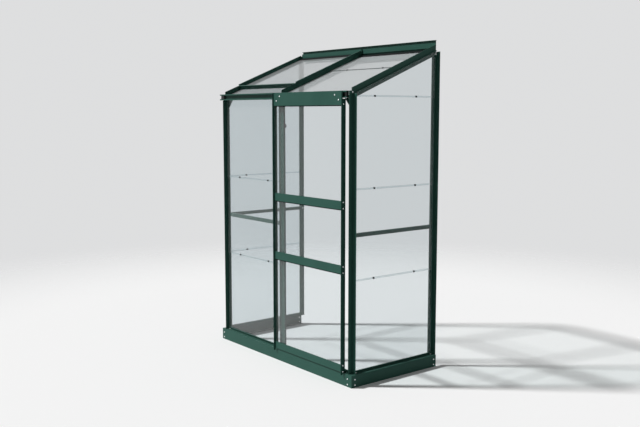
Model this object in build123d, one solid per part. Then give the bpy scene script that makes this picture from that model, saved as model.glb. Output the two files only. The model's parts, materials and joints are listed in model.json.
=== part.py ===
"""Lean-to glass greenhouse: painted aluminium bars on a steel base, lapped panes, one sliding door.

Millimetres, +Z up, +X to the right along the front, +Y from the front to the wall it leans on.
The origin is on the ground, at the middle of the overall footprint.
"""
import os
from math import asin, cos, degrees, radians, sin, tan

from build123d import *

# Overall sizes
base_width = 1320.0
base_depth = 658.0
base_height = 70.0
eave_height = 1611.0
roof_pitch = 22.0
door_overhang = 18.0

# Stock that the pieces are made of, and the play between them
metal = 2.0
glass = 3.0
fit_gap = 0.3
running_gap = 5.0
glass_play = 7.0
overrun = 60.0

# Base rail: a pressed channel, open to the inside
base_top_lip = 40.0
base_bottom_lip = 25.0
corner_plate_leg = 60.0
corner_plate_margin = 4.0

# Corner, wall and centre posts: extruded bars with arms round the glass
post_inset = 33.0
post_setback = 32.0
post_front_arm = 28.0
post_side_arm = 28.0
glass_arm = 20.0
wall_arm = 37.0
centre_line = -7.0
centre_face = 48.0
centre_front_arm = 12.0
centre_inner_arm = 15.0

# Wall fixings in the outer arms of the wall posts
fixing_hole = 6.5
fixing_low = 300.0
fixing_rise = 1200.0

# Sills under the glass
sill_height = 16.0
sill_depth = 12.0
sill_lip = 3.0

# Eave beam: the door's track in front, a gutter trough behind
eave_beam_height = 37.0
eave_left_inset = 10.0
eave_right_gap = 12.0
track_depth = 15.0
track_lip = 7.0
web_setback = 11.0
trough_lip = 16.0

# Rafters, ridge bar and the corner gussets
rafter_setback = 22.0
roof_drop = 17.0
rafter_rib = 31.0
rafter_arm = 10.0
gable_leg = 25.0
slim_leg = 8.0
gable_cap = 8.0
ridge_face = 65.0
ridge_depth = 6.0
ridge_below_glass = 8.0
ridge_lip = 9.0
ridge_hood = 11.0
ridge_hood_rise = 13.0
eave_gusset_width = 70.0
eave_gusset_height = 78.0
gable_gusset_length = 36.0

# Panes: one stock height, lapped like shingles
pane_height = 508.0
pane_lap = 9.0
roof_pane_lower = 400.0
side_glass_stop = 17.0

# Rails behind the glass
rail_centre_height = 835.0
rail_height = 22.0
rail_leg = 14.0

# Roof vent, closed, over the left half of the roof
vent_foot = 128.0
vent_lap = 27.0
vent_flange = 7.0
vent_flange_rise = 10.0
vent_lift = 5.5
vent_apron = 12.0
vent_hood = 10.0
vent_nose = 9.0
vent_bar_top = 42.0

# Sliding door
door_width = 636.0
door_left = -47.0
stile_depth = 33.0
stile_wall = 20.0
stile_step = 3.0
stile_flange = 14.0
stile_toe_depth = 13.0
door_foot = 60.0
door_body_foot = 76.0
header_height = 76.0
header_setback = 7.0
header_lip = 5.0
rail_setback = 10.0
rail_face = 47.0
rail_web = 18.0
bottom_rail_foot = 74.0
bottom_rail_top = 116.0
upper_rail_centre = 999.0
lower_rail_centre = 647.0
roller_radius = 13.0
roller_width = 8.0
roller_inset = 65.0
axle_radius = 4.0

# Lines that the pieces share
wall_y = (base_depth + door_overhang) / 2
base_front = wall_y - base_depth
door_front = base_front - door_overhang
side_x = base_width / 2
web_x = side_x - post_inset
plate_front = base_front + post_setback
plate_back = plate_front + metal
wall_plate_front = wall_y - metal
sill_top = base_height + sill_height
glass_foot = sill_top - sill_lip
eave_foot = eave_height - eave_beam_height
web_front = base_front + web_setback
web_back = web_front + metal
track_front = web_front - track_depth
trough_back = plate_back
rafter_front = base_front + rafter_setback
ridge_front = wall_y - ridge_depth
roof_foot = eave_height - roof_drop
roof_angle = radians(roof_pitch)
flange_drop = (metal + fit_gap) / cos(roof_angle)
roof_run = (ridge_front - rafter_front) / cos(roof_angle)
ridge_foot = roof_foot + (ridge_front - rafter_front) * tan(roof_angle) - ridge_below_glass
roof_plane = Plane(
    origin=(0, rafter_front, roof_foot),
    x_dir=(1, 0, 0),
    z_dir=(0, -sin(roof_angle), cos(roof_angle)),
)
tall = eave_height + base_depth
pane_pitch = pane_height - pane_lap
glass_step = glass + fit_gap
centre_left = centre_line - metal / 2
centre_right = centre_line + metal / 2

os.makedirs("parts", exist_ok=True)


def save(node, *solids):
    """Write one named piece, or several like solids under one name."""
    shape = solids[0] if len(solids) == 1 else Compound(children=list(solids))
    export_step(shape, f"parts/{node}.step")


def wall(u0, u1, v0, v1):
    """One straight wall of a bar's section."""
    return Pos((u0 + u1) / 2, (v0 + v1) / 2) * Rectangle(abs(u1 - u0), abs(v1 - v0))


def upright(section, z0, z1):
    """Section drawn in X and Y, run upwards."""
    return extrude(Pos(0, 0, z0) * section, amount=z1 - z0)


def along_x(section, x0, x1):
    """Section drawn in Y and Z, run to the right."""
    return extrude(Plane.YZ.offset(x0) * section, amount=x1 - x0)


def along_y(section, y0, y1):
    """Section drawn in X and Z, run to the back."""
    return extrude(Plane.XZ.offset(-y1) * section, amount=y1 - y0)


def block(x0, x1, y0, y1, z0, z1):
    """Plain block between two corners."""
    return upright(wall(x0, x1, y0, y1), z0, z1)


def outline(*points):
    """Flat face inside straight edges."""
    return make_face(Polyline(*points, close=True))


def mirrored(solid):
    """The same piece on the other side of the house."""
    return mirror(solid, Plane.YZ)


def roof_height(y):
    """Height of the underside of the roof glass above the ground."""
    return roof_foot + (y - rafter_front) * tan(roof_angle)


def below_roof(drop):
    """Everything further than a drop under the roof glass, measured square to it."""
    return roof_plane * block(-base_width, base_width, -base_depth, tall, -tall, -drop)


# Base: three mitred channels with an angle plate inside each front corner
def base_section(sign, outer):
    face = wall(outer, outer + sign * metal, 0, base_height)
    top = wall(outer, outer + sign * base_top_lip, base_height - metal, base_height)
    bottom = wall(outer, outer + sign * base_bottom_lip, 0, metal)
    return face + top + bottom


inner_x = side_x - base_top_lip
inner_y = base_front + base_top_lip
front_mitre = outline((-side_x, base_front), (side_x, base_front), (inner_x, inner_y), (-inner_x, inner_y))
side_mitre = outline((side_x, base_front), (side_x, wall_y), (inner_x, wall_y), (inner_x, inner_y))
base_front_rail = along_x(base_section(1, base_front), -side_x, side_x)
base_front_rail &= upright(front_mitre, 0, base_height)
base_right_rail = along_y(base_section(-1, side_x), base_front, wall_y)
base_right_rail &= upright(side_mitre, 0, base_height)
save("base_front", base_front_rail)
save("base_right", base_right_rail)
save("base_left", mirrored(base_right_rail))

plate_x = side_x - metal
plate_y = base_front + metal
corner_plate = upright(
    wall(plate_x - corner_plate_leg, plate_x, plate_y, plate_y + metal)
    + wall(plate_x - metal, plate_x, plate_y, plate_y + corner_plate_leg),
    metal + corner_plate_margin,
    base_height - metal - corner_plate_margin,
)
save("base_corner_plates", corner_plate, mirrored(corner_plate))

# Posts: each bar has arms behind the glass and arms that stand out past it
corner_section = (
    wall(web_x - metal, web_x, plate_front - post_front_arm, plate_back + glass_arm)
    + wall(web_x - metal - glass_arm, web_x + post_side_arm, plate_front, plate_back)
)
corner_post = upright(corner_section, base_height, eave_foot)
post_horn = block(web_x - metal, web_x, plate_front - post_front_arm, rafter_front, eave_foot, eave_height)
post_ear = block(
    web_x, web_x + post_side_arm, plate_front, plate_back, eave_foot, roof_height(plate_front) - flange_drop
)
save("corner_post_right", corner_post + post_horn + post_ear)
save("corner_post_left", mirrored(corner_post))


def wall_post(leg):
    """Angle against the wall, its web cut off under a rafter's leg, with holes for the wall fixings."""
    web = wall(web_x - metal, web_x, wall_plate_front - wall_arm, wall_plate_front)
    plate = wall(web_x - metal, web_x + post_side_arm, wall_plate_front, wall_y)
    post = upright(web, base_height, tall) & below_roof(leg)
    post += upright(plate, base_height, ridge_foot)
    for height in (fixing_low, fixing_low + fixing_rise):
        hole = Pos(web_x + post_side_arm / 2, wall_y, height) * Rot(X=90)
        post -= hole * Cylinder(fixing_hole / 2, overrun)
    return post


save("wall_post_right", wall_post(gable_leg))
save("wall_post_left", mirrored(wall_post(slim_leg)))

centre_section = (
    wall(centre_left - glass_arm, centre_right, plate_front, plate_back)
    + wall(centre_left, centre_right, plate_front, plate_back + centre_inner_arm)
)
centre_face_front = plate_front - centre_front_arm
centre_front_section = (
    wall(centre_left, centre_right, centre_face_front, plate_front)
    + wall(
        centre_line - centre_face / 2, centre_line + centre_face / 2,
        centre_face_front, centre_face_front + metal,
    )
)
centre_post = upright(centre_section, base_height, eave_foot)
centre_post += upright(centre_front_section, sill_top, eave_foot)
save("centre_post", centre_post)

# Sills: small channels on the base, open to the outside, that the lowest panes stand on
def sill_section(sign, seat):
    face = seat + sign * sill_depth
    return (
        wall(seat, seat + sign * metal, base_height, glass_foot)
        + wall(seat, face, glass_foot - metal, glass_foot)
        + wall(face - sign * metal, face, glass_foot - metal, sill_top)
        + wall(seat, face, base_height, base_height + metal)
    )


sill_right = along_y(sill_section(1, web_x), plate_back, wall_plate_front)
save("sill_front", along_x(sill_section(-1, plate_front), metal - web_x, web_x - metal))
save("sill_right", sill_right)
save("sill_left", mirrored(sill_right))

# Eave beam: the door hangs in its front channel, the roof drains into its trough
eave_section = (
    wall(web_front, web_back, eave_foot, eave_height)
    + wall(track_front, trough_back, eave_foot, eave_foot + metal)
    + wall(track_front, web_back, eave_height - metal, eave_height)
    + wall(track_front, track_front + metal, eave_foot, eave_foot + track_lip)
    + wall(track_front, track_front + metal, eave_height - track_lip, eave_height)
    + wall(trough_back - metal, trough_back, eave_foot, eave_foot + trough_lip)
)
eave_left = eave_left_inset - side_x
eave_right = web_x - metal - eave_right_gap
save("eave_beam", along_x(eave_section, eave_left, eave_right))

# Ridge bar: a shallow channel on the wall, with a drip lip and a hood over the head of the right-hand glass
ridge_top = ridge_foot + ridge_face
ridge_section = (
    wall(ridge_front, ridge_front + metal, ridge_foot, ridge_top)
    + wall(ridge_front, wall_y, ridge_foot, ridge_foot + metal)
    + wall(ridge_front - ridge_lip, wall_y, ridge_top - metal, ridge_top)
)
hood_foot = ridge_foot + ridge_below_glass + ridge_hood_rise
hood_section = wall(ridge_front - ridge_hood, ridge_front, hood_foot, hood_foot + metal)
ridge_bar = along_x(ridge_section, metal - web_x, web_x - metal)
ridge_bar += along_x(hood_section, centre_right + fit_gap, web_x - metal - fit_gap)
save("ridge_bar", ridge_bar)

# Rafters: a flange under the glass, a rib above it and a leg below
def rafter(section, notch_top):
    """Bar from the eave to the ridge, cut off plumb, with its foot notched over what it stands on."""
    bar = roof_plane * along_y(section, -overrun, roof_run + overrun)
    span = block(-base_width, base_width, rafter_front, ridge_front, 0, tall)
    foot_notch = block(-base_width, base_width, rafter_front, trough_back, 0, notch_top)
    post_notch = block(-base_width, base_width, rafter_front, plate_back + glass_arm, 0, eave_foot)
    return (bar & span) - foot_notch - post_notch


def gable_section(leg):
    """Section of a gable rafter, its flange reaching out over the head of the gable glass."""
    flange = wall(web_x - metal - rafter_arm, web_x + gable_cap, -metal, 0)
    return wall(web_x - metal, web_x, -leg, rafter_rib) + flange


centre_rafter_section = (
    wall(centre_left, centre_right, -slim_leg, rafter_rib)
    + wall(centre_left - rafter_arm, centre_right + rafter_arm, -metal, 0)
)
trough_top = eave_foot + trough_lip
save("rafter_right", rafter(gable_section(gable_leg), eave_foot))
save("rafter_left", mirrored(rafter(gable_section(slim_leg), trough_top)))
save("rafter_centre", rafter(centre_rafter_section, trough_top))

# Gussets: flat triangles that square up the front and the gables
gusset_edge = web_x - metal - fit_gap
gusset_top = eave_foot - fit_gap
gusset_face = Plane.XZ.offset(-plate_back - metal) * outline(
    (gusset_edge, gusset_top),
    (gusset_edge - eave_gusset_width, gusset_top),
    (gusset_edge, gusset_top - eave_gusset_height),
)
eave_gusset = extrude(gusset_face, amount=metal)
save("eave_gussets", eave_gusset, mirrored(eave_gusset))

gusset_back = ridge_front - fit_gap
gusset_nose = gusset_back - gable_gusset_length
gable_gusset = along_x(
    outline(
        (gusset_back, roof_height(gusset_back) - flange_drop),
        (gusset_nose, roof_height(gusset_nose) - flange_drop),
        (gusset_back, roof_height(gusset_back) - flange_drop - gable_gusset_length),
    ),
    web_x - metal - metal,
    web_x - metal,
)
save("gable_gussets", gable_gusset, mirrored(gable_gusset))

# Rails behind the glass, half way up
rail_foot = rail_centre_height - rail_height / 2
rail_top = rail_centre_height + rail_height / 2
front_rail = (
    wall(plate_back, plate_back + metal, rail_foot, rail_top)
    + wall(plate_back, plate_back + rail_leg, rail_top - metal, rail_top)
)
rail_face_x = web_x - metal
save("front_rail", along_x(front_rail, rail_leg + fit_gap - rail_face_x, centre_left - fit_gap))
side_rail_section = (
    wall(rail_face_x - metal, rail_face_x, rail_foot, rail_top)
    + wall(rail_face_x - rail_leg, rail_face_x, rail_top - metal, rail_top)
)
side_rail = along_y(side_rail_section, plate_back + fit_gap, wall_plate_front - fit_gap)
save("side_rail_right", side_rail)
save("side_rail_left", mirrored(side_rail))


# Wall glass: each pane leans out at its foot, over the head of the pane below
def leaning_pane(width, height):
    """Pane in its own frame: head on the bar's face, foot standing out, width along X."""
    lean = degrees(asin(glass_step / height))
    sheet = block(-width / 2, width / 2, -glass, 0, -height, 0)
    return Rot(X=-lean) * sheet


front_bay = (metal - web_x, centre_left)
front_pane_width = front_bay[1] - front_bay[0] - 2 * glass_play
front_pane_x = (front_bay[0] + front_bay[1]) / 2
gable_y0 = plate_back + glass_play / 2
gable_y1 = wall_plate_front - side_glass_stop
side_pane_width = gable_y1 - gable_y0
side_pane_y = (gable_y0 + gable_y1) / 2
pane_foot = glass_foot + fit_gap
eave_glass_head = eave_foot - fit_gap

front_panes = []
side_panes = []
for row in range(int((eave_foot - glass_foot) // pane_pitch) + 1):
    foot = pane_foot + row * pane_pitch
    front_height = min(pane_height, eave_glass_head - foot)
    front_pane = leaning_pane(front_pane_width, front_height)
    front_panes.append(Pos(front_pane_x, plate_front, foot + front_height) * front_pane)
    if foot + pane_height < eave_height:
        side_pane = Rot(Z=90) * leaning_pane(side_pane_width, pane_height)
        side_panes.append(Pos(web_x, side_pane_y, foot + pane_height) * side_pane)
save("front_glass", *front_panes)

gable_foot = pane_foot + len(side_panes) * pane_pitch
gable_pane = along_x(
    outline(
        (gable_y0, gable_foot),
        (gable_y1, gable_foot),
        (gable_y1, roof_height(gable_y1) - flange_drop),
        (gable_y0, roof_height(gable_y0) - flange_drop),
    ),
    web_x + glass_step,
    web_x + glass_step + glass,
)
right_panes = side_panes + [gable_pane]
save("right_glass", *right_panes)
save("left_glass", *[mirrored(pane) for pane in right_panes])


# Roof glass: two lapped panes on the right, a strip under the vent on the left
def roof_pane(x0, x1, s0, s1, lift):
    """Pane on the rafters from one slope length to another, its foot lifted off them."""
    lean = degrees(asin(lift / (s1 - s0)))
    sheet = block(x0, x1, s0 - s1, 0, 0, glass)
    return roof_plane * Pos(0, s1, 0) * Rot(X=-lean) * sheet


roof_x0 = centre_right + glass_play / 2
roof_x1 = web_x - metal - glass_play / 2
trough_gap = glass + metal
head_gap = glass + metal
lower_head = trough_gap + roof_pane_lower
roof_lower = roof_pane(roof_x0, roof_x1, trough_gap, lower_head, 0)
roof_upper = roof_pane(roof_x0, roof_x1, lower_head - pane_lap, roof_run - head_gap, glass_step)
save("roof_glass_right", roof_lower, roof_upper)
strip_x1 = centre_left - glass_play / 2
strip_head = vent_foot + vent_lap
save("roof_glass_left", roof_pane(-roof_x1, strip_x1, trough_gap, strip_head, 0))

# Roof vent: a tray that sits between two rafters and hooks over their ribs, its pane low inside it
cap_under = rafter_rib + vent_lift
cap_top = cap_under + metal
flange_top = vent_flange_rise + metal


def vent_head(lowest):
    """Slope length at which a vent piece with this lowest level meets the hinge bar."""
    return roof_run - (vent_nose + fit_gap) / cos(roof_angle) + lowest * tan(roof_angle)


def vent_side(rib, sign):
    """Side bar beside a rib's vent face; the sign points from the rib into the vent."""
    inner = rib + sign * fit_gap
    outer = rib - sign * (metal + fit_gap)
    section = (
        wall(inner, inner + sign * metal, vent_flange_rise, cap_top)
        + wall(inner, inner + sign * vent_flange, vent_flange_rise, flange_top)
        + wall(outer - sign * metal, inner + sign * metal, cap_under, cap_top)
        + wall(outer - sign * metal, outer, cap_top - vent_apron, cap_top)
    )
    return roof_plane * along_y(section, vent_foot, vent_head(vent_flange_rise))


save("vent_side_rails", vent_side(metal - web_x, 1), vent_side(centre_left, -1))

vent_x0 = metal + fit_gap - web_x
vent_x1 = centre_left - fit_gap
drip_face = wall(vent_foot - metal, vent_foot, glass + fit_gap, rafter_rib)
drip_face += wall(vent_foot - vent_hood, vent_foot, rafter_rib - metal, rafter_rib)
drip_flange = wall(vent_foot - metal, vent_foot + vent_flange, vent_flange_rise, flange_top)
vent_drip = along_x(drip_face, vent_x0, vent_x1)
vent_drip += along_x(drip_flange, vent_x0 + vent_flange, vent_x1 - vent_flange)
save("vent_bottom_rail", roof_plane * vent_drip)
save("vent_glass", roof_plane * block(
    vent_x0 + metal + fit_gap, vent_x1 - metal - fit_gap, vent_foot + fit_gap, vent_head(flange_top),
    flange_top, flange_top + glass,
))

hinge_foot = roof_height(ridge_front) + fit_gap
hinge_top = hinge_foot + vent_bar_top
hinge_mid = (hinge_foot + hinge_top) / 2
hinge_low = (ridge_front, hinge_foot)
hinge_brow = (ridge_front - vent_nose, hinge_top)
hinge_cheek = (ridge_front - vent_nose, hinge_mid)
hinge_back = Polyline(hinge_low, (ridge_front, hinge_top), hinge_brow, hinge_cheek)
hinge_chin = TangentArc(hinge_cheek, hinge_low, tangent=(0, -1))
hinge_section = make_face(hinge_back + hinge_chin)
save("vent_top_rail", along_x(hinge_section, vent_x0, vent_x1))

# Door: two stiles, four rails, three panes and two rollers
door_right = door_left + door_width


def door_y(depth):
    """Depth behind the door's front edge."""
    return door_front + depth


stile_section = (
    wall(0, metal, door_y(0), door_y(stile_wall))
    + wall(0, stile_flange + metal, door_y(stile_wall - metal), door_y(stile_wall))
    + wall(stile_step, stile_step + metal, door_y(stile_wall - metal), door_y(stile_depth))
)
track_clear = track_front - running_gap
stile_box = (-overrun, overrun)
stile = upright(stile_section, door_foot, eave_height)
stile -= block(*stile_box, track_clear, wall_y, eave_foot - running_gap, tall)
stile -= block(*stile_box, door_y(stile_toe_depth), wall_y, 0, door_body_foot)
save("door_stile_left", Pos(door_left, 0, 0) * stile)
save("door_stile_right", Pos(door_right, 0, 0) * mirrored(stile))

rail_x0 = door_left + metal
rail_x1 = door_right - metal
web_x0 = door_left + metal + stile_flange + fit_gap
web_x1 = door_right - metal - stile_flange - fit_gap
face_front = door_y(rail_setback)
face_back = face_front + metal
web_end = face_back + rail_web


def door_rail(z0, z1, web_height):
    """Flat face between the stiles, with a web behind it that parts the panes."""
    face = along_x(wall(face_front, face_back, z0, z1), rail_x0, rail_x1)
    web = wall(face_back, web_end, web_height - metal / 2, web_height + metal / 2)
    return face + along_x(web, web_x0, web_x1)


save("door_mid_rail_upper", door_rail(
    upper_rail_centre - rail_face / 2, upper_rail_centre + rail_face / 2, upper_rail_centre
))
save("door_mid_rail_lower", door_rail(
    lower_rail_centre - rail_face / 2, lower_rail_centre + rail_face / 2, lower_rail_centre
))
save("door_bottom_rail", door_rail(bottom_rail_foot, bottom_rail_top, bottom_rail_foot + rail_web))

header_front = door_y(header_setback)
header_back = header_front + metal
header_foot = eave_height - header_height
header_section = (
    wall(header_front, header_back, header_foot, eave_height)
    + wall(header_front, header_back + header_lip, header_foot, header_foot + metal)
)
save("door_top_rail", along_x(header_section, rail_x0, rail_x1))

pane_back = door_y(stile_wall - metal)
pane_front = pane_back - glass
pane_x0 = rail_x0 + metal
pane_x1 = rail_x1 - metal
half_web = metal / 2 + fit_gap
pane_rows = (
    ("door_glass_bottom", bottom_rail_foot + rail_web + half_web, lower_rail_centre - half_web),
    ("door_glass_middle", lower_rail_centre + half_web, upper_rail_centre - half_web),
    ("door_glass_top", upper_rail_centre + half_web, header_foot + rail_web),
)
for node, low, high in pane_rows:
    save(node, block(pane_x0, pane_x1, pane_front, pane_back, low, high))

# Rollers: wheels on short axles, running on the floor of the track
roller_z = eave_foot + metal + roller_radius + fit_gap
roller_y = (track_front + metal + web_front) / 2
wheel_front = roller_y - roller_width / 2 - header_back
wheel_back = wheel_front + roller_width
roller_section = outline(
    (0, 0),
    (axle_radius, 0),
    (axle_radius, wheel_front),
    (roller_radius, wheel_front),
    (roller_radius, wheel_back),
    (0, wheel_back),
)
roller = revolve(roller_section, axis=Axis.Y)
roller_places = (door_left + roller_inset, door_right - roller_inset)
rollers = [Pos(x, header_back, roller_z) * roller for x in roller_places]
save("door_rollers", *rollers)
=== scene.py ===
import json
from math import cos, pi, radians, sin

import bmesh
import bpy
from mathutils import Matrix, Vector


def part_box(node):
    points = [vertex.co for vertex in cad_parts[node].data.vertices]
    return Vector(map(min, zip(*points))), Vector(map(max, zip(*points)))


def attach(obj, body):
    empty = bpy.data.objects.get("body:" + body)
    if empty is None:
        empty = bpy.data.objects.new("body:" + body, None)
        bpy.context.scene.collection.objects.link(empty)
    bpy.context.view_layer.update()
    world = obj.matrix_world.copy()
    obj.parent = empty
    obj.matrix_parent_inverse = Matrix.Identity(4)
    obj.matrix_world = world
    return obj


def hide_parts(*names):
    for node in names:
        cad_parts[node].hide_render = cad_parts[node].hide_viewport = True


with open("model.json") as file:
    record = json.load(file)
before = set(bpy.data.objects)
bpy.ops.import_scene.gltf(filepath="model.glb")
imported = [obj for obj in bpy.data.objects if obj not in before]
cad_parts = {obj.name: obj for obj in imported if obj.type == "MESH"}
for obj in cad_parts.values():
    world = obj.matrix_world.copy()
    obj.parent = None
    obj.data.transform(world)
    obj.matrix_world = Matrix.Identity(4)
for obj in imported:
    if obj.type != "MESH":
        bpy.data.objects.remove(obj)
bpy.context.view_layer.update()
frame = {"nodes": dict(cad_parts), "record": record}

# Base rails and sills: channels of pressed steel, mitred at the front corners, with aluminium sills on top.
# All of it is stoved with dark green powder, which sets with a faint orange peel over the drawing lines
# of the bar and holds a little dust where it faces up.
PAINT_GREEN = (0.027, 0.092, 0.071, 1.0)
PAINT_WORN = (0.033, 0.104, 0.081, 1.0)
DUST_COLOUR = (0.16, 0.19, 0.175, 1.0)
NOISE_LOW = 0.3
NOISE_HIGH = 0.7

# Scale and detail of each pattern in the coat
COAT_PATCHES = (7.0, 3.0)
COAT_LINES = (320.0, 2.0)
COAT_PEEL = (700.0, 1.0)
COAT_DUST = (28.0, 4.0)

LINE_SHARE = 0.5
LINE_STRETCH = 0.01
DUST_LEVEL = 0.6
DUST_THINNEST = 0.25
DUSTINESS = 0.1
COAT_GLOSS = (0.38, 0.5)
COAT_SPECULAR = 0.12
COAT_RELIEF = (0.12, 0.0004)
EDGE_RADIUS = 0.0004
EDGE_SAMPLES = 4


def feed(tree, value, socket):
    """Link an input to an output, or set it to a constant."""
    if isinstance(value, bpy.types.NodeSocket):
        tree.links.new(value, socket)
    else:
        socket.default_value = value


def set_inputs(tree, node, **sockets):
    """Feed some of a node's inputs by name."""
    for socket, value in sockets.items():
        feed(tree, value, node.inputs[socket.replace("_", " ")])
    return node


def add_node(tree, kind, **sockets):
    """New node with some of its inputs fed by name."""
    return set_inputs(tree, tree.nodes.new(kind), **sockets)


def on_object(tree):
    """Place on the object, in metres."""
    return tree.nodes.new("ShaderNodeTexCoord").outputs["Object"]


def noise(tree, place, scale, detail):
    """Noise over a place socket."""
    return add_node(tree, "ShaderNodeTexNoise", Vector=place, Scale=scale, Detail=detail).outputs["Fac"]


def remap(tree, value, low, high):
    """Noise, which mostly keeps to the middle of its range, spread over another range."""
    spread = add_node(
        tree, "ShaderNodeMapRange", Value=value,
        From_Min=NOISE_LOW, From_Max=NOISE_HIGH, To_Min=low, To_Max=high,
    )
    return spread.outputs["Result"]


def combine(tree, operation, *values):
    """Result of a math operation on sockets and numbers."""
    node = tree.nodes.new("ShaderNodeMath")
    node.operation = operation
    for value, socket in zip(values, node.inputs):
        feed(tree, value, socket)
    return node.outputs["Value"]


def blend_colours(tree, share, first, second):
    """Colour that turns from one to another as the share goes from 0 to 1."""
    mix = tree.nodes.new("ShaderNodeMix")
    mix.data_type = "RGBA"
    set_inputs(tree, mix, Factor=share, A=first, B=second)
    return mix.outputs["Result"]


def new_group(name, inputs, outputs):
    """New shader node group with its named sockets, and what it is given through them."""
    group = bpy.data.node_groups.new(name, "ShaderNodeTree")
    for way, sockets in (("INPUT", inputs), ("OUTPUT", outputs)):
        for socket, kind in sockets.items():
            group.interface.new_socket(name=socket, in_out=way, socket_type="NodeSocket" + kind)
    return group, group.nodes.new("NodeGroupInput").outputs


def place_group(tree, group, **sockets):
    """What a node group puts out in a material that feeds its inputs by name."""
    node = tree.nodes.new("ShaderNodeGroup")
    node.node_tree = group
    return set_inputs(tree, node, **sockets).outputs


def powder_coat_group():
    """Stoved powder: patchy colour and gloss, peel and drawing lines, and dust on what faces up."""
    group, given = new_group("powder_coat", {
        "Paint": "Color", "Worn": "Color", "Dust": "Color", "Dustiness": "Float",
        "Grain": "Vector", "Gloss low": "Float", "Gloss high": "Float",
    }, {"Color": "Color", "Roughness": "Float", "Height": "Float"})
    place = on_object(group)
    drawn = group.nodes.new("ShaderNodeVectorMath")
    drawn.operation = "MULTIPLY"
    feed(group, place, drawn.inputs[0])
    feed(group, given["Grain"], drawn.inputs[1])
    patches = noise(group, place, *COAT_PATCHES)
    lines = noise(group, drawn.outputs["Vector"], *COAT_LINES)
    shade = blend_colours(group, remap(group, patches, 0.0, 1.0), given["Paint"], given["Worn"])
    normal = group.nodes.new("ShaderNodeNewGeometry").outputs["Normal"]
    facing_up = add_node(group, "ShaderNodeSeparateXYZ", Vector=normal).outputs["Z"]
    level = add_node(
        group, "ShaderNodeMapRange", Value=facing_up, From_Min=DUST_LEVEL, To_Max=given["Dustiness"],
    )
    thickness = remap(group, noise(group, place, *COAT_DUST), DUST_THINNEST, 1.0)
    settled = combine(group, "MULTIPLY", level.outputs["Result"], thickness)
    add_node(
        group, "NodeGroupOutput",
        Color=blend_colours(group, settled, shade, given["Dust"]),
        Roughness=remap(group, patches, given["Gloss low"], given["Gloss high"]),
        Height=combine(group, "MULTIPLY_ADD", lines, LINE_SHARE, noise(group, place, *COAT_PEEL)),
    )
    return group


def new_material(name):
    """New material with its node tree and its Principled shader."""
    material = bpy.data.materials.new(name)
    material.use_nodes = True
    return material, material.node_tree, material.node_tree.nodes["Principled BSDF"]


def bump(tree, shader, height, strength, depth, edge=0.0):
    """Relief on a shader from a height socket, over edges that are eased by a small radius."""
    relief = add_node(tree, "ShaderNodeBump", Height=height, Strength=strength, Distance=depth)
    if edge:
        eased = add_node(tree, "ShaderNodeBevel", Radius=edge)
        eased.samples = EDGE_SAMPLES
        set_inputs(tree, relief, Normal=eased.outputs["Normal"])
    set_inputs(tree, shader, Normal=relief.outputs["Normal"])


powder_coat = powder_coat_group()


def green_coat(name, grain):
    """Green powder coat, with the drawing lines of the bar under it stretched along its run."""
    material, tree, shader = new_material(name)
    coat = place_group(
        tree, powder_coat, Paint=PAINT_GREEN, Worn=PAINT_WORN, Dust=DUST_COLOUR, Dustiness=DUSTINESS,
        Grain=grain, Gloss_low=COAT_GLOSS[0], Gloss_high=COAT_GLOSS[1],
    )
    set_inputs(tree, shader, Base_Color=coat["Color"], Roughness=coat["Roughness"])
    set_inputs(tree, shader, Specular_IOR_Level=COAT_SPECULAR)
    bump(tree, shader, coat["Height"], *COAT_RELIEF, edge=EDGE_RADIUS)
    return material


def finish(material, *nodes):
    """Give some pieces of the frame their finish."""
    for node in nodes:
        for place in frame["nodes"][node].material_slots:
            place.material = material


coat_across = green_coat("green_coat_across", (LINE_STRETCH, 1.0, 1.0))
coat_deep = green_coat("green_coat_deep", (1.0, LINE_STRETCH, 1.0))
coat_upright = green_coat("green_coat_upright", (1.0, 1.0, LINE_STRETCH))
coat_flat = green_coat("green_coat_flat", (1.0, 1.0, 1.0))
finish(coat_across, "base_front", "sill_front")
finish(coat_deep, "base_left", "base_right", "sill_left", "sill_right")
finish(coat_flat, "base_corner_plates")

# Base corner bolts: zinc-plated button heads with a hexagon socket, two in each face beside a corner.
# Two more stand at the back end of each side. They go through the rail, and at the front corners
# through the plate behind it, and end in nuts.
ZINC_BRIGHT = (0.82, 0.84, 0.85, 1.0)
ZINC_MARKS = (900.0, 2.0)
ZINC_GLOSS = (0.28, 0.45)
ZINC_RELIEF = (0.15, 0.0002)
BOLT_RADIUS = 0.0042
BOLT_RISE = 0.0027
BOLT_DOME_SHARES = ((1.0, 0.0), (1.0, 0.3), (0.9, 0.65), (0.72, 0.9), (0.55, 1.0))
SOCKET_RADIUS = 0.0019
SOCKET_DEPTH = 0.0014
NUT_RADIUS = 0.0052
NUT_RISE = 0.0045
NUT_SHOULDER_SHARE = 0.82
NUT_CROWN_SHARE = 0.84
STUB_RADIUS = 0.0029
STUB_RISE = 0.0075
STUB_SHARES = ((1.0, 0.9), (0.75, 1.0))
RING_POINTS = 24
SMOOTH_ANGLE = radians(35)
SHEET = 0.002
BOLT_HEIGHTS = (0.014, 0.045)
FRONT_BOLT_INSET = {-1: 0.020, 1: 0.034}
SIDE_BOLT_INSET = 0.025
BACK_BOLT_INSET = 0.019


def zinc_plating():
    """Bright plating with fine turning marks."""
    material, tree, shader = new_material("zinc_plate")
    marks = noise(tree, on_object(tree), *ZINC_MARKS)
    set_inputs(tree, shader, Base_Color=ZINC_BRIGHT, Metallic=1.0, Roughness=remap(tree, marks, *ZINC_GLOSS))
    bump(tree, shader, marks, *ZINC_RELIEF)
    return material


def ring_turns():
    """Angles of the points round a ring."""
    return [2 * pi * k / RING_POINTS for k in range(RING_POINTS)]


def round_ring(radius, height):
    """Points of a circle."""
    return [Vector((radius * cos(turn), radius * sin(turn), height)) for turn in ring_turns()]


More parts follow.
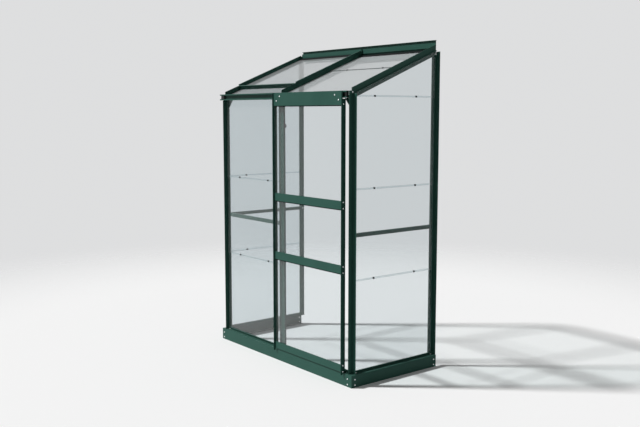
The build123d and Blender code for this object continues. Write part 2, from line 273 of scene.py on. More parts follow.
def hex_ring(radius, height):
    """Points along a hexagon, as many as a circle has."""
    points = []
    for turn in ring_turns():
        across = turn % (pi / 3) - pi / 6
        reach = radius * cos(pi / 6) / cos(across)
        points.append(Vector((reach * cos(turn), reach * sin(turn), height)))
    return points


def loft(shape, rings, place=Matrix()):
    """Closed skin through a stack of rings, capped at both ends."""
    layers = [[shape.verts.new(place @ point) for point in ring] for ring in rings]
    for low, high in zip(layers, layers[1:]):
        for k in range(len(low)):
            nearby = (k + 1) % len(low)
            shape.faces.new((low[k], low[nearby], high[nearby], high[k]))
    shape.faces.new(list(reversed(layers[0])))
    shape.faces.new(layers[-1])


def seat_frame(seat, outward):
    """Frame on a seat, with its Z pointing out of the face."""
    turn = Vector(outward).to_track_quat("Z", "Y").to_matrix().to_4x4()
    return Matrix.Translation(Vector(seat)) @ turn


def add_piece(name, shape, body, materials, smooth_angle=SMOOTH_ANGLE):
    """Object from a finished mesh, riding on a body of the frame."""
    bmesh.ops.recalc_face_normals(shape, faces=shape.faces)
    mesh = bpy.data.meshes.new(name)
    shape.to_mesh(mesh)
    shape.free()
    for material in materials:
        mesh.materials.append(material)
    mesh.shade_smooth()
    mesh.set_sharp_from_angle(angle=smooth_angle)
    piece = bpy.data.objects.new(name, mesh)
    bpy.context.scene.collection.objects.link(piece)
    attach(piece, body)
    return piece


def bolt_head(shape, seat, outward):
    """Button head with a hexagon socket."""
    dome = [round_ring(BOLT_RADIUS * wide, BOLT_RISE * high) for wide, high in BOLT_DOME_SHARES]
    socket = [hex_ring(SOCKET_RADIUS, height) for height in (BOLT_RISE, BOLT_RISE - SOCKET_DEPTH)]
    loft(shape, dome + socket, seat_frame(seat, outward))


def nut(shape, seat, outward):
    """Hexagon nut with its top corners turned off, and the bolt's end in it."""
    stub = [round_ring(STUB_RADIUS * wide, STUB_RISE * high) for wide, high in STUB_SHARES]
    loft(shape, [
        hex_ring(NUT_RADIUS, 0),
        hex_ring(NUT_RADIUS, NUT_RISE * NUT_SHOULDER_SHARE),
        round_ring(NUT_RADIUS * NUT_CROWN_SHARE, NUT_RISE),
        round_ring(STUB_RADIUS, NUT_RISE),
    ] + stub, seat_frame(seat, outward))


zinc_plate = zinc_plating()


def bolts(name, body, heads, nuts=()):
    """Set of like bolts in one mesh: heads and nuts are seats with the way they face."""
    shape = bmesh.new()
    for seat, outward in heads:
        bolt_head(shape, seat, outward)
    for seat, outward in nuts:
        nut(shape, seat, outward)
    add_piece(name, shape, body, [zinc_plate])


base_low, base_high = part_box("base_front")
base_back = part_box("base_right")[1].y
base_heads, base_nuts = [], []
for height in BOLT_HEIGHTS:
    for side in (-1, 1):
        front_x = side * (base_high.x - FRONT_BOLT_INSET[side])
        base_heads.append(((front_x, base_low.y, height), (0, -1, 0)))
        base_nuts.append(((front_x, base_low.y + 2 * SHEET, height), (0, 1, 0)))
        for deep, sheets in ((base_low.y + SIDE_BOLT_INSET, 2), (base_back - BACK_BOLT_INSET, 1)):
            base_heads.append(((side * base_high.x, deep, height), (side, 0, 0)))
            base_nuts.append(((side * (base_high.x - sheets * SHEET), deep, height), (-side, 0, 0)))
bolts("base_bolts", "house", base_heads, base_nuts)

# Sill bolts: the same button heads, upright in the open channel of each sill, near its ends.
# They hold the sill down on the top of the base rail.
SILL_BOLT_INSET = 0.018
sill_low, sill_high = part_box("sill_front")
sill_heads = []
for side, sill in ((-1, "sill_left"), (1, "sill_right")):
    front_seat = (side * (sill_high.x - SILL_BOLT_INSET), sill_low.y + BOLT_RADIUS, sill_low.z + SHEET)
    sill_heads.append((front_seat, (0, 0, 1)))
    side_low, side_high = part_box(sill)
    outer_x = side * (max(abs(side_low.x), abs(side_high.x)) - BOLT_RADIUS)
    for deep in (side_low.y + SILL_BOLT_INSET, side_high.y - SILL_BOLT_INSET):
        sill_heads.append(((outer_x, deep, side_low.z + SHEET), (0, 0, 1)))
bolts("sill_bolts", "house", sill_heads)

# Posts, eave beam, rafters, ridge, rails and gussets: aluminium in the same green, bolted at the ends.
# The bars are extruded, so the lines of the die run along them under the coat; gussets are flat sheet.
finish(coat_upright, "corner_post_left", "corner_post_right", "centre_post")
finish(coat_upright, "wall_post_left", "wall_post_right")
finish(coat_across, "eave_beam", "ridge_bar", "front_rail")
finish(coat_deep, "rafter_left", "rafter_centre", "rafter_right", "side_rail_left", "side_rail_right")
finish(coat_flat, "eave_gussets", "gable_gussets")

# Frame bolts: more of the same, where the rafters meet the posts and where rails and gussets are fixed.
# Rails and gussets have their heads on the inside, since the glass lies flat on the other face.
POST_BOLT_INSET = (0.0055, 0.0075)
GABLE_BOLT_INSET = (0.0075, 0.01404)
EAVE_GUSSET_BOLTS = ((0.010, 0.014), (0.010, 0.048), (0.040, 0.014))
GABLE_GUSSET_BOLT = (0.008, 0.014)
RAIL_END = 0.0095
web_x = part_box("right_glass")[0].x
rafter_low, rafter_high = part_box("rafter_right")
corner_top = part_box("corner_post_right")[1].z
wall_post_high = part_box("wall_post_right")[1]
gusset_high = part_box("eave_gussets")[1]
peak_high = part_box("gable_gussets")[1]
side_rail_low, side_rail_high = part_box("side_rail_right")
front_rail_low, front_rail_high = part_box("front_rail")
rail_bolt_height = (front_rail_low.z + front_rail_high.z) / 2 - SHEET
web_bolts = (
    (rafter_low.y + POST_BOLT_INSET[0], corner_top - POST_BOLT_INSET[1]),
    (rafter_high.y - GABLE_BOLT_INSET[0], wall_post_high.z - GABLE_BOLT_INSET[1]),
)
peak_bolt = (peak_high.y - GABLE_GUSSET_BOLT[0], peak_high.z - GABLE_GUSSET_BOLT[1])
frame_heads = []
for side in (-1, 1):
    for deep, height in web_bolts:
        frame_heads.append(((side * web_x, deep, height), (side, 0, 0)))
    for across, down in EAVE_GUSSET_BOLTS:
        seat = (side * (gusset_high.x - across), gusset_high.y, gusset_high.z - down)
        frame_heads.append((seat, (0, 1, 0)))
    frame_heads.append(((side * (peak_high.x - SHEET), *peak_bolt), (-side, 0, 0)))
    for deep in (side_rail_low.y + RAIL_END, side_rail_high.y - RAIL_END):
        frame_heads.append(((side * (side_rail_high.x - SHEET), deep, rail_bolt_height), (-side, 0, 0)))
for across in (front_rail_low.x + RAIL_END, front_rail_high.x - RAIL_END):
    frame_heads.append(((across, front_rail_low.y + SHEET, rail_bolt_height), (0, 1, 0)))
bolts("frame_bolts", "house", frame_heads)

# Wall screws: steel pan heads in the green of the frame, with a hexagon socket in each.
# They go through the four holes in the outer arms of the wall posts and fix the house at its back.
MILLIMETRE = 0.001
WALL_SCREW_RADIUS = 0.0062
WALL_SCREW_RISE = 0.0026
PAN_SHARES = ((1.0, 0.0), (1.0, 0.5), (0.86, 0.9), (0.6, 1.0))
PAN_SOCKET_RADIUS = 0.0024
PAN_SOCKET_SHARES = ((1.0, 1.0), (0.8, 0.2))
fixings = next(mount for mount in frame["record"]["mounts"] if mount["name"] == "wall_fixings")
screw_x = fixings["dims"]["spacing_x_mm"] * MILLIMETRE / 2
screw_rise = fixings["dims"]["spacing_y_mm"] * MILLIMETRE / 2
screw_middle = fixings["pos_m"][2]
arm_face = wall_post_high.y - SHEET
pan_rings = [round_ring(WALL_SCREW_RADIUS * wide, WALL_SCREW_RISE * high) for wide, high in PAN_SHARES]
pan_rings += [hex_ring(PAN_SOCKET_RADIUS * wide, WALL_SCREW_RISE * high) for wide, high in PAN_SOCKET_SHARES]
screw_shape = bmesh.new()
for side in (-1, 1):
    for height in (screw_middle - screw_rise, screw_middle + screw_rise):
        loft(screw_shape, pan_rings, seat_frame((side * screw_x, arm_face, height), (0, -1, 0)))
add_piece("wall_screws", screw_shape, "house", [coat_flat])

# Track stops: chamfered blocks of moulded black nylon, pushed into both ends of the door's track.
# Each is held by a bolt from below and keeps the rollers from running out.
NYLON_BLACK = (0.012, 0.014, 0.014, 1.0)
NYLON_WORN = (0.022, 0.024, 0.024, 1.0)
NYLON_GLOSS = (0.4, 0.55)
NYLON_GRAIN = 900.0
NYLON_SPECULAR = 0.3
MOULDED_MOTTLE = (60.0, 3.0)
MOULDED_RELIEF = (0.15, 0.0002)
GRAIN_DETAIL = 2.0
FLAT_ANGLE = radians(1)
TRACK_PLAY = 0.0006
TRACK_DEPTH = 0.015
STOP_CHAMFER = 0.0025
LEFT_STOP_INSET = 0.010
LEFT_STOP_LENGTH = 0.034
RIGHT_STOP_INSET = 0.002
RIGHT_STOP_LENGTH = 0.019


def moulded_skin_group():
    """Skin of a moulding or a dip coat: mottled colour, uneven gloss and a fine grain."""
    group, given = new_group("moulded_skin", {
        "Clean": "Color", "Worn": "Color", "Gloss low": "Float", "Gloss high": "Float", "Grain": "Float",
    }, {"Color": "Color", "Roughness": "Float", "Height": "Float"})
    place = on_object(group)
    mottle = noise(group, place, *MOULDED_MOTTLE)
    add_node(
        group, "NodeGroupOutput",
        Color=blend_colours(group, remap(group, mottle, 0.0, 1.0), given["Clean"], given["Worn"]),
        Roughness=remap(group, mottle, given["Gloss low"], given["Gloss high"]),
        Height=noise(group, place, given["Grain"], GRAIN_DETAIL),
    )
    return group


moulded_skin = moulded_skin_group()


def moulded(name, clean, worn, gloss, grain, specular):
    """Moulded plastic or rubber, or a black dip coat."""
    material, tree, shader = new_material(name)
    skin = place_group(
        tree, moulded_skin, Clean=clean, Worn=worn, Gloss_low=gloss[0], Gloss_high=gloss[1], Grain=grain,
    )
    set_inputs(tree, shader, Base_Color=skin["Color"], Roughness=skin["Roughness"])
    set_inputs(tree, shader, Specular_IOR_Level=specular)
    bump(tree, shader, skin["Height"], *MOULDED_RELIEF)
    return material


black_nylon = moulded("black_nylon", NYLON_BLACK, NYLON_WORN, NYLON_GLOSS, NYLON_GRAIN, NYLON_SPECULAR)
track_low, track_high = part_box("eave_beam")
stop_y = (track_low.y + SHEET + TRACK_PLAY, track_low.y + TRACK_DEPTH - TRACK_PLAY)
stop_z = (track_low.z + SHEET + TRACK_PLAY, track_high.z - SHEET - TRACK_PLAY)
left_stop = track_low.x + LEFT_STOP_INSET
right_stop = track_high.x - RIGHT_STOP_INSET


def stop_ring(x, inset):
    """Corners of a stop's section at one place along it."""
    y0, y1 = stop_y[0] + inset, stop_y[1] - inset
    z0, z1 = stop_z[0] + inset, stop_z[1] - inset
    return [Vector((x, y0, z0)), Vector((x, y1, z0)), Vector((x, y1, z1)), Vector((x, y0, z1))]


stop_shape = bmesh.new()
stop_heads = []
for start, end in ((right_stop - RIGHT_STOP_LENGTH, right_stop), (left_stop, left_stop + LEFT_STOP_LENGTH)):
    loft(stop_shape, [
        stop_ring(start, STOP_CHAMFER),
        stop_ring(start + STOP_CHAMFER, 0),
        stop_ring(end - STOP_CHAMFER, 0),
        stop_ring(end, STOP_CHAMFER),
    ])
    stop_heads.append((((start + end) / 2, sum(stop_y) / 2, track_low.z), (0, 0, -1)))
add_piece("track_stops", stop_shape, "house", [black_nylon], smooth_angle=FLAT_ANGLE)
bolts("track_stop_bolts", "house", stop_heads)

# Glass: stock panes of 3 mm float glass with ground edges, lapped like shingles on the flanges of the bars.
# It is clear, with a faint grey-green body. A film of dust veils it, thicker on the roof than on upright
# panes, and dirt gathers on the edges of the roof panes.
GLASS_BODY = (0.79, 0.835, 0.85, 1.0)
GLASS_MIRROR = (0.4, 0.4, 0.4, 1.0)
GLASS_SHADE = (0.94, 0.955, 0.955, 1.0)
GLASS_FILM = (9.0, 4.0)
FILM_GLOSS = (0.0, 0.03)
FILM_SPREAD = 0.4
GLASS_WAVES = (2.2, 1.0)
WAVE_RELIEF = (0.02, 0.002)
CLEAN_EDGE = ((0.3, 0.42, 0.4, 1.0), (0.42, 0.53, 0.51, 1.0))
DIRTY_EDGE = ((0.05, 0.065, 0.06, 1.0), (0.1, 0.125, 0.12, 1.0))
EDGE_STAINS = (40.0, 2.0)
EDGE_GRIT = (1400.0, 2.0)
EDGE_GLOSS = (0.3, 0.55)
EDGE_RELIEF = (0.2, 0.0002)
WELD = 0.00002
ARRIS = 0.0005
ARRIS_STEPS = 2
ARRIS_ROUND = 0.5
PANE_AREA = 0.01


def mix_surface(tree, share, first, second, output="Material Output"):
    """Surface that turns from one shader to another as the share goes from 0 to 1."""
    mix = tree.nodes.new("ShaderNodeMixShader")
    for source, socket in zip((share, first, second), mix.inputs):
        feed(tree, source, socket)
    set_inputs(tree, tree.nodes[output], Surface=mix.outputs["Shader"])


def dusty_film_group():
    """Uneven haze on a pane, and the slow waves of float glass under it."""
    group, given = new_group("dusty_film", {
        "Gloss low": "Float", "Gloss high": "Float",
    }, {"Roughness": "Float", "Height": "Float"})
    place = on_object(group)
    haze = noise(group, place, *GLASS_FILM)
    add_node(
        group, "NodeGroupOutput",
        Roughness=remap(group, haze, given["Gloss low"], given["Gloss high"]),
        Height=noise(group, place, *GLASS_WAVES),
    )
    return group


def ground_edge_group():
    """Edge of a pane, ground matt and stained."""
    group, given = new_group("ground_edge", {
        "Deep": "Color", "Pale": "Color", "Gloss low": "Float", "Gloss high": "Float",
    }, {"Color": "Color", "Roughness": "Float", "Height": "Float"})
    place = on_object(group)
    stains = remap(group, noise(group, place, *EDGE_STAINS), 0.0, 1.0)
    grit = noise(group, place, *EDGE_GRIT)
    add_node(
        group, "NodeGroupOutput",
        Color=blend_colours(group, stains, given["Deep"], given["Pale"]),
        Roughness=remap(group, grit, given["Gloss low"], given["Gloss high"]),
        Height=grit,
    )
    return group


dusty_film = dusty_film_group()
ground_finish = ground_edge_group()


def clear_glass(name, clearness, dust, index):
    """Float glass under a film of dust, which veils it where it is seen aslant and dulls its mirror."""
    material, tree, shader = new_material(name)
    film = place_group(tree, dusty_film, Gloss_low=FILM_GLOSS[0], Gloss_high=FILM_GLOSS[1])
    set_inputs(
        tree, shader, Base_Color=GLASS_BODY, Transmission_Weight=clearness, IOR=index,
        Specular_Tint=GLASS_MIRROR, Sheen_Weight=dust, Sheen_Roughness=FILM_SPREAD,
        Roughness=film["Roughness"],
    )
    bump(tree, shader, film["Height"], *WAVE_RELIEF)
    ray = tree.nodes.new("ShaderNodeLightPath").outputs
    falling = combine(tree, "MAXIMUM", ray["Is Shadow Ray"], ray["Is Diffuse Ray"])
    clear = add_node(tree, "ShaderNodeBsdfTransparent", Color=GLASS_SHADE)
    mix_surface(tree, falling, shader.outputs["BSDF"], clear.outputs["BSDF"])
    return material


def ground_edge(name, deep, pale):
    """Ground edge of clean or of dirty glass."""
    material, tree, shader = new_material(name)
    ground = place_group(
        tree, ground_finish, Deep=deep, Pale=pale, Gloss_low=EDGE_GLOSS[0], Gloss_high=EDGE_GLOSS[1],
    )
    set_inputs(tree, shader, Base_Color=ground["Color"], Roughness=ground["Roughness"])
    bump(tree, shader, ground["Height"], *EDGE_RELIEF)
    return material


wall_glass = clear_glass("wall_glass", clearness=1.0, dust=0.8, index=1.5)
roof_glass = clear_glass("roof_glass", clearness=0.9, dust=1.0, index=1.22)
wall_edge = ground_edge("wall_glass_edge", *CLEAN_EDGE)
roof_edge = ground_edge("roof_glass_edge", *DIRTY_EDGE)


def glaze(name, node, body, glass, edge):
    """The panes of a node with their sharp edges ground off."""
    shape = bmesh.new()
    shape.from_mesh(frame["nodes"][node].data)
    bmesh.ops.remove_doubles(shape, verts=shape.verts, dist=WELD)
    bmesh.ops.dissolve_limit(shape, angle_limit=FLAT_ANGLE, verts=shape.verts, edges=shape.edges)
    bmesh.ops.bevel(
        shape, geom=list(shape.edges), offset=ARRIS, segments=ARRIS_STEPS, profile=ARRIS_ROUND,
        affect="EDGES", clamp_overlap=True,
    )
    for face in shape.faces:
        face.material_index = 0 if face.calc_area() > PANE_AREA else 1
    piece = add_piece(name, shape, body, [glass, edge], FLAT_ANGLE)
    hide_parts(node)


glaze("front_panes", "front_glass", "house", wall_glass, wall_edge)
for side in ("left", "right"):
    glaze(f"{side}_panes", f"{side}_glass", "house", wall_glass, wall_edge)
for side in ("left", "right"):
    glaze(f"roof_panes_{side}", f"roof_glass_{side}", "house", roof_glass, roof_edge)

# Lap clips: S-shaped strips of black coated spring steel, two at each lap.
# One hook hangs over the head of the lower pane, the other carries the foot of the upper one.
PANE = 0.003
PANE_STEP = 0.0033
PANE_PITCH = 0.499
PANE_LAP = 0.009
FRONT_LAPS = 2
SIDE_LAPS = 3
ROOF_PITCH = radians(22)
ROOF_DROP = 0.017
ROOF_LAP = 0.396
CLIP_STRIP = 0.0008
CLIP_NECK = 0.00018
CLIP_PLAY = 0.00005
CLIP_WIDTH = 0.010
CLIP_REACH = 0.156
CLIP_TAIL = 0.002
CLIP_GLOSS = (0.45, 0.6)
CLIP_GRAIN = 1200.0
black_clip = moulded("black_coated_steel", NYLON_BLACK, NYLON_WORN, CLIP_GLOSS, CLIP_GRAIN, NYLON_SPECULAR)


def clip_profile():
    """Outline of the strip: out of the glass, and up from the foot of the upper pane."""
    front = PANE_STEP + PANE + 2 * CLIP_PLAY
    neck = PANE + CLIP_PLAY
    head = PANE_LAP + CLIP_PLAY
    back = -2 * CLIP_PLAY
    return [
        (front, PANE_LAP), (front + CLIP_STRIP, PANE_LAP), (front + CLIP_STRIP, -CLIP_STRIP),
        (neck, -CLIP_STRIP), (neck, head), (back, head), (back, CLIP_TAIL),
        (back - CLIP_STRIP, CLIP_TAIL), (back - CLIP_STRIP, head + CLIP_STRIP),
        (neck + CLIP_NECK, head + CLIP_STRIP), (neck + CLIP_NECK, -CLIP_PLAY), (front, -CLIP_PLAY),
    ]


def lap_clip(shape, seat, outward, up):
    """One clip at a lap; the seat lies on the bars' face, level with the foot of the upper pane."""
    outward, up = Vector(outward), Vector(up)
    turn = Matrix((outward, up, outward.cross(up))).transposed().to_4x4()
    ends = (-CLIP_WIDTH / 2, CLIP_WIDTH / 2)
    rings = [[Vector((out, rise, along)) for out, rise in clip_profile()] for along in ends]
    loft(shape, rings, Matrix.Translation(Vector(seat)) @ turn)


front_low, front_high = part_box("front_glass")
gable_low, gable_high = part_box("right_glass")
roof_low, roof_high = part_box("roof_glass_right")
front_mid = (front_low.x + front_high.x) / 2
gable_mid = (gable_low.y + gable_high.y) / 2
roof_mid = (roof_low.x + roof_high.x) / 2
roof_up = Vector((0, cos(ROOF_PITCH), sin(ROOF_PITCH)))
roof_out = Vector((0, -sin(ROOF_PITCH), cos(ROOF_PITCH)))
roof_foot = Vector((0, rafter_low.y, track_high.z - ROOF_DROP))
roof_lap = roof_foot + roof_up * ROOF_LAP
clip_shape = bmesh.new()
for reach in (-CLIP_REACH, CLIP_REACH):
    for row in range(1, SIDE_LAPS + 1):
        foot = front_low.z + row * PANE_PITCH
        for side in (-1, 1):
            lap_clip(clip_shape, (side * web_x, gable_mid + reach, foot), (side, 0, 0), (0, 0, 1))
        if row <= FRONT_LAPS:
            lap_clip(clip_shape, (front_mid + reach, front_high.y, foot), (0, -1, 0), (0, 0, 1))
    lap_clip(clip_shape, roof_lap + Vector((roof_mid + reach, 0, 0)), roof_out, roof_up)
add_piece("lap_clips", clip_shape, "house", [black_clip], smooth_angle=FLAT_ANGLE)

# Vent: a shallow tray of green bars with a pane of its own, closed over the left half of the roof.
# Its sides hook over the ribs of the rafters, and it ends at a round-nosed hinge bar under the ridge.
finish(coat_deep, "vent_side_rails")
finish(coat_across, "vent_bottom_rail", "vent_top_rail")
glaze("vent_pane", "vent_glass", "house", roof_glass, roof_edge)

# Ridge seals: flat strips of black rubber on the heads of the vent's pane and of the right roof pane.
# Each is tucked under the ridge and lies on the glass with its rounded edge towards the eave.
# Their black is partly painted shade: it stands in for the shadow under the ridge's lip and hinge bar.
RUBBER_BLACK_AND_SHADE = (0.01, 0.012, 0.012, 1.0)
RUBBER_WORN = (0.018, 0.021, 0.021, 1.0)
RUBBER_GLOSS = (0.6, 0.8)
RUBBER_GRAIN = 1500.0
RUBBER_SPECULAR = 0.03
SEAL_REACH = 0.032
SEAL_THICKNESS = 0.003
SEAL_PLAY = 0.0001
BEAD_STEPS = 6
# This near-black rubber is real rubber and also painted shade, under the ridge and under the door rails.
rubber_and_painted_shade = moulded(
    "rubber_and_painted_shade", RUBBER_BLACK_AND_SHADE, RUBBER_WORN, RUBBER_GLOSS, RUBBER_GRAIN, RUBBER_SPECULAR,
)


def bead(start, radius):
    """Points of a half circle, from the angle at which it starts."""
    turns = [start + pi * k / BEAD_STEPS for k in range(BEAD_STEPS + 1)]
    return [(radius * cos(turn), radius + radius * sin(turn)) for turn in turns]


def pane_head(node):
    """Slope length of a roof pane's head and the rise of its upper face there, from its box."""
    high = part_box(node)[1]
    corner = Vector((0, high.y, high.z)) - roof_foot
    slope = corner.dot(roof_up) - PANE * sin(ROOF_PITCH) * cos(ROOF_PITCH)
    return slope, corner.dot(roof_out) + PANE * sin(ROOF_PITCH) ** 2


def ridge_seal_and_shade(shape, node, lean):
    """Strip along the head of a pane that climbs by the lean over each metre towards its foot."""
    head, rise = pane_head(node)
    low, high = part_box(node)
    radius = SEAL_THICKNESS / 2
    nose = [(radius - SEAL_REACH + along, up) for along, up in bead(pi / 2, radius)]
    outline = [(-SEAL_PLAY, SEAL_THICKNESS)] + nose + [(-SEAL_PLAY, 0.0)]
    rings = []
    for across in (low.x, high.x):
        edge = roof_foot + Vector((across, 0, 0)) + roof_up * head + roof_out * (rise + SEAL_PLAY)
        rings.append([edge + roof_up * along + roof_out * (up - lean * along) for along, up in outline])
    loft(shape, rings)


upper_pane_lean = PANE_STEP / (pane_head("roof_glass_right")[0] - ROOF_LAP)
ridge_shape = bmesh.new()
ridge_seal_and_shade(ridge_shape, "vent_glass", 0.0)
ridge_seal_and_shade(ridge_shape, "roof_glass_right", upper_pane_lean)
add_piece("ridge_seals_and_painted_shade", ridge_shape, "house", [rubber_and_painted_shade])

# Door: two green stiles, four rails and three panes of the same float glass, screwed together at the ends.
# It hangs from rollers in the track of the eave beam and slides to the left.
finish(coat_upright, "door_stile_left", "door_stile_right")
finish(coat_across, "door_top_rail", "door_mid_rail_upper", "door_mid_rail_lower", "door_bottom_rail")
for row in ("top", "middle", "bottom"):
    glaze(f"door_pane_{row}", f"door_glass_{row}", "door", wall_glass, wall_edge)

# Door screws: the same button heads through the stiles, two into each end of the three lower rails
# and one into each end of the header. Of the four on the header's face, the upper pair are the
# axles of the rollers.
SCREW_DEPTH = 0.0155
SCREW_SPREAD = 0.017
HEADER_FOOT_SCREW = 0.0055
HEADER_SCREW_INSET = 0.033
HEADER_SCREW_RISE = 0.028
header_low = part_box("door_top_rail")[0]
stile_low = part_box("door_stile_left")[0]
stile_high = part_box("door_stile_right")[1]
wheel_low, wheel_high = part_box("door_rollers")
wheel_radius = (wheel_high.z - wheel_low.z) / 2
axle_height = (wheel_low.z + wheel_high.z) / 2
screw_heights = [header_low.z + HEADER_FOOT_SCREW]
for rail in ("door_mid_rail_upper", "door_mid_rail_lower", "door_bottom_rail"):
    rail_low, rail_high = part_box(rail)
    middle = (rail_low.z + rail_high.z) / 2
    screw_heights += [middle - SCREW_SPREAD, middle + SCREW_SPREAD]
door_heads = []
for outer, way in ((stile_low.x, -1), (stile_high.x, 1)):
    for height in screw_heights:
        door_heads.append(((outer, stile_low.y + SCREW_DEPTH, height), (way, 0, 0)))
    corner_x = outer - way * HEADER_SCREW_INSET
    door_heads.append(((corner_x, header_low.y, header_low.z + HEADER_SCREW_RISE), (0, -1, 0)))
for axle_x in (wheel_low.x + wheel_radius, wheel_high.x - wheel_radius):
    door_heads.append(((axle_x, header_low.y, axle_height), (0, -1, 0)))
bolts("door_screws", "door", door_heads)

# Rollers: two wheels of the same black nylon as the track stops, turned with a short axle.
# They hang the door from the floor of the track, behind its header.
finish(black_nylon, "door_rollers")

# Door seals: strips of black rubber pressed between the rails and the glass.
# Each shows as a half-round bead under its rail; the one at the top lies under the header.
# The black bead is partly painted shade: it stands in for the shadow line under each rail and the header.
SEAL_SHOWN = 0.005
SEAL_HIDDEN = 0.006
pane_low, pane_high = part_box("door_glass_top")
seal_back = pane_low.y - SEAL_PLAY


def door_seal_and_shade(shape, rail_front, foot, top):
    """Strip between the sheet of a rail and the glass behind it, with a bead at its foot."""
    seal_front = rail_front + SHEET + SEAL_PLAY
    middle = (seal_front + seal_back) / 2
    radius = (seal_back - seal_front) / 2
    outline = [(middle + deep, foot + up) for deep, up in bead(pi, radius)]
    outline += [(seal_back, top), (seal_front, top)]
    loft(shape, [[Vector((x, deep, up)) for deep, up in outline] for x in (pane_low.x, pane_high.x)])


seal_shape = bmesh.new()
for rail in ("door_mid_rail_upper", "door_mid_rail_lower"):
    rail_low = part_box(rail)[0]
    door_seal_and_shade(seal_shape, rail_low.y, rail_low.z - SEAL_SHOWN, rail_low.z + SEAL_HIDDEN)
header_foot = header_low.z - SEAL_PLAY
door_seal_and_shade(seal_shape, header_low.y, header_foot - SEAL_SHOWN, header_foot)
add_piece("door_seals_and_painted_shade", seal_shape, "door", [rubber_and_painted_shade])

# Door catch: a small hook of the same black nylon, moulded in one piece.
# It is clipped on the edge of the centre post, where the closed door latches.
CATCH_FOOT = 1.406
CATCH_HEIGHT = 0.044
CATCH_REACH = 0.016
CATCH_GRIP = 0.009
CATCH_DEPTH = 0.0075
GRIP_SHARES = (0.1, 0.94)
HOOK_SHARES = ((0.35, 0.0), (0.85, 0.08), (1.0, 0.28), (0.8, 0.46), (0.3, 0.52), (0.18, 0.7), (0.1, 1.0))
post_low, post_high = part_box("centre_post")
catch_front = post_low.y + SHEET + SEAL_PLAY
hook = [(CATCH_REACH * out, CATCH_HEIGHT * up) for out, up in HOOK_SHARES]
grip_foot, grip_top = [(-CATCH_GRIP, CATCH_HEIGHT * up) for up in GRIP_SHARES]
catch_outline = [grip_foot] + hook + [grip_top]
catch_shape = bmesh.new()
loft(catch_shape, [
    [Vector((post_high.x + out, deep, CATCH_FOOT + up)) for out, up in catch_outline]
    for deep in (catch_front, catch_front + CATCH_DEPTH)
])
add_piece("door_catch", catch_shape, "house", [black_nylon])

# Studio: a round pale floor for the object to stand on, which fades into a light grey room.
# One lamp high on the front left casts the object's shadow, and a soft fill comes from all round.
ROOM_GREY = (0.73, 0.735, 0.74, 1.0)
FILL_WHITE = (1.0, 1.0, 1.0, 1.0)
FILL_STRENGTH = 0.2
FLOOR_WHITE = (0.9, 0.9, 0.9, 1.0)
FLOOR_BOUNCE = (0.45, 0.45, 0.45, 1.0)
FLOOR_ROUGHNESS = 0.85
FLOOR_SPECULAR = 0.1
FLOOR_RADIUS = 9.0
FLOOR_SIDES = 96
FADE_START = 2.2
FADE_END = 5.0
LAMP_STRENGTH = 3.5
LAMP_ANGLE = radians(5)
LAMP_RAY = (0.45, 0.53, -0.72)


def seen_rays(tree):
    """Mask of the rays that reach the eye, straight, by a mirror or through glass."""
    ray = tree.nodes.new("ShaderNodeLightPath").outputs
    mirrored = combine(tree, "MAXIMUM", ray["Is Camera Ray"], ray["Is Glossy Ray"])
    return combine(tree, "MAXIMUM", mirrored, ray["Is Transmission Ray"])


def pale_floor():
    """Matt floor, pale to the eye and darker to the light it throws back, that thins out all round."""
    material, tree, shader = new_material("studio_floor")
    set_inputs(
        tree, shader, Base_Color=blend_colours(tree, seen_rays(tree), FLOOR_BOUNCE, FLOOR_WHITE),
        Roughness=FLOOR_ROUGHNESS, Specular_IOR_Level=FLOOR_SPECULAR,
    )
    reach = tree.nodes.new("ShaderNodeVectorMath")
    reach.operation = "LENGTH"
    feed(tree, on_object(tree), reach.inputs[0])
    fade = add_node(
        tree, "ShaderNodeMapRange", Value=reach.outputs["Value"], From_Min=FADE_START, From_Max=FADE_END,
    )
    fade.interpolation_type = "SMOOTHSTEP"
    thin = tree.nodes.new("ShaderNodeBsdfTransparent")
    mix_surface(tree, fade.outputs["Result"], shader.outputs["BSDF"], thin.outputs["BSDF"])
    return material


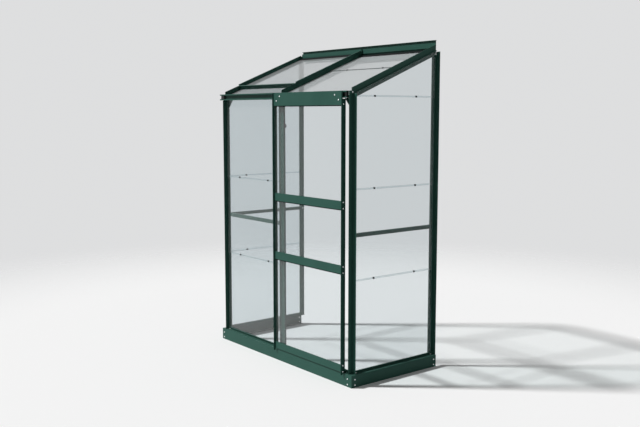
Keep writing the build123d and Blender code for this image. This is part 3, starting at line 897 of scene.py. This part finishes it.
floor_shape = bmesh.new()
bmesh.ops.create_circle(floor_shape, cap_ends=True, radius=FLOOR_RADIUS, segments=FLOOR_SIDES)
floor_mesh = bpy.data.meshes.new("studio_floor")
floor_shape.to_mesh(floor_mesh)
floor_shape.free()
floor_mesh.materials.append(pale_floor())
floor = bpy.data.objects.new("studio_floor", floor_mesh)
bpy.context.scene.collection.objects.link(floor)

world = bpy.data.worlds.new("studio")
world.use_nodes = True
bpy.context.scene.world = world
air = world.node_tree
room = set_inputs(air, air.nodes["Background"], Color=ROOM_GREY)
fill = add_node(air, "ShaderNodeBackground", Color=FILL_WHITE, Strength=FILL_STRENGTH)
mix_surface(air, seen_rays(air), fill.outputs["Background"], room.outputs["Background"], "World Output")

lamp_data = bpy.data.lights.new("front_left_lamp", "SUN")
lamp_data.energy = LAMP_STRENGTH
lamp_data.angle = LAMP_ANGLE
lamp = bpy.data.objects.new("front_left_lamp", lamp_data)
lamp.rotation_mode = "QUATERNION"
lamp.rotation_quaternion = Vector(LAMP_RAY).to_track_quat("-Z", "Y")
bpy.context.scene.collection.objects.link(lamp)

# Camera: to the right of the front, a little under eye height, with a slightly long lens.
# Its place, turn and lens are fitted to the photo's view of the base, the posts and the ridge.
CAMERA_PLACE = (4.02384, -3.20547, 1.49361)
CAMERA_TURN = radians(51.595)
CAMERA_DROP = radians(6.841)
CAMERA_SENSOR = 36.0
CAMERA_LENS = 47.15
camera_data = bpy.data.cameras.new("camera")
camera_data.sensor_width = CAMERA_SENSOR
camera_data.lens = CAMERA_LENS
camera = bpy.data.objects.new("camera", camera_data)
level_sight = Vector((-sin(CAMERA_TURN), cos(CAMERA_TURN), 0))
sight = level_sight * cos(CAMERA_DROP) - Vector((0, 0, sin(CAMERA_DROP)))
camera.location = CAMERA_PLACE
camera.rotation_mode = "QUATERNION"
camera.rotation_quaternion = sight.to_track_quat("-Z", "Y")
bpy.context.scene.collection.objects.link(camera)
bpy.context.scene.camera = camera
bpy.context.scene.view_settings.view_transform = "Standard"
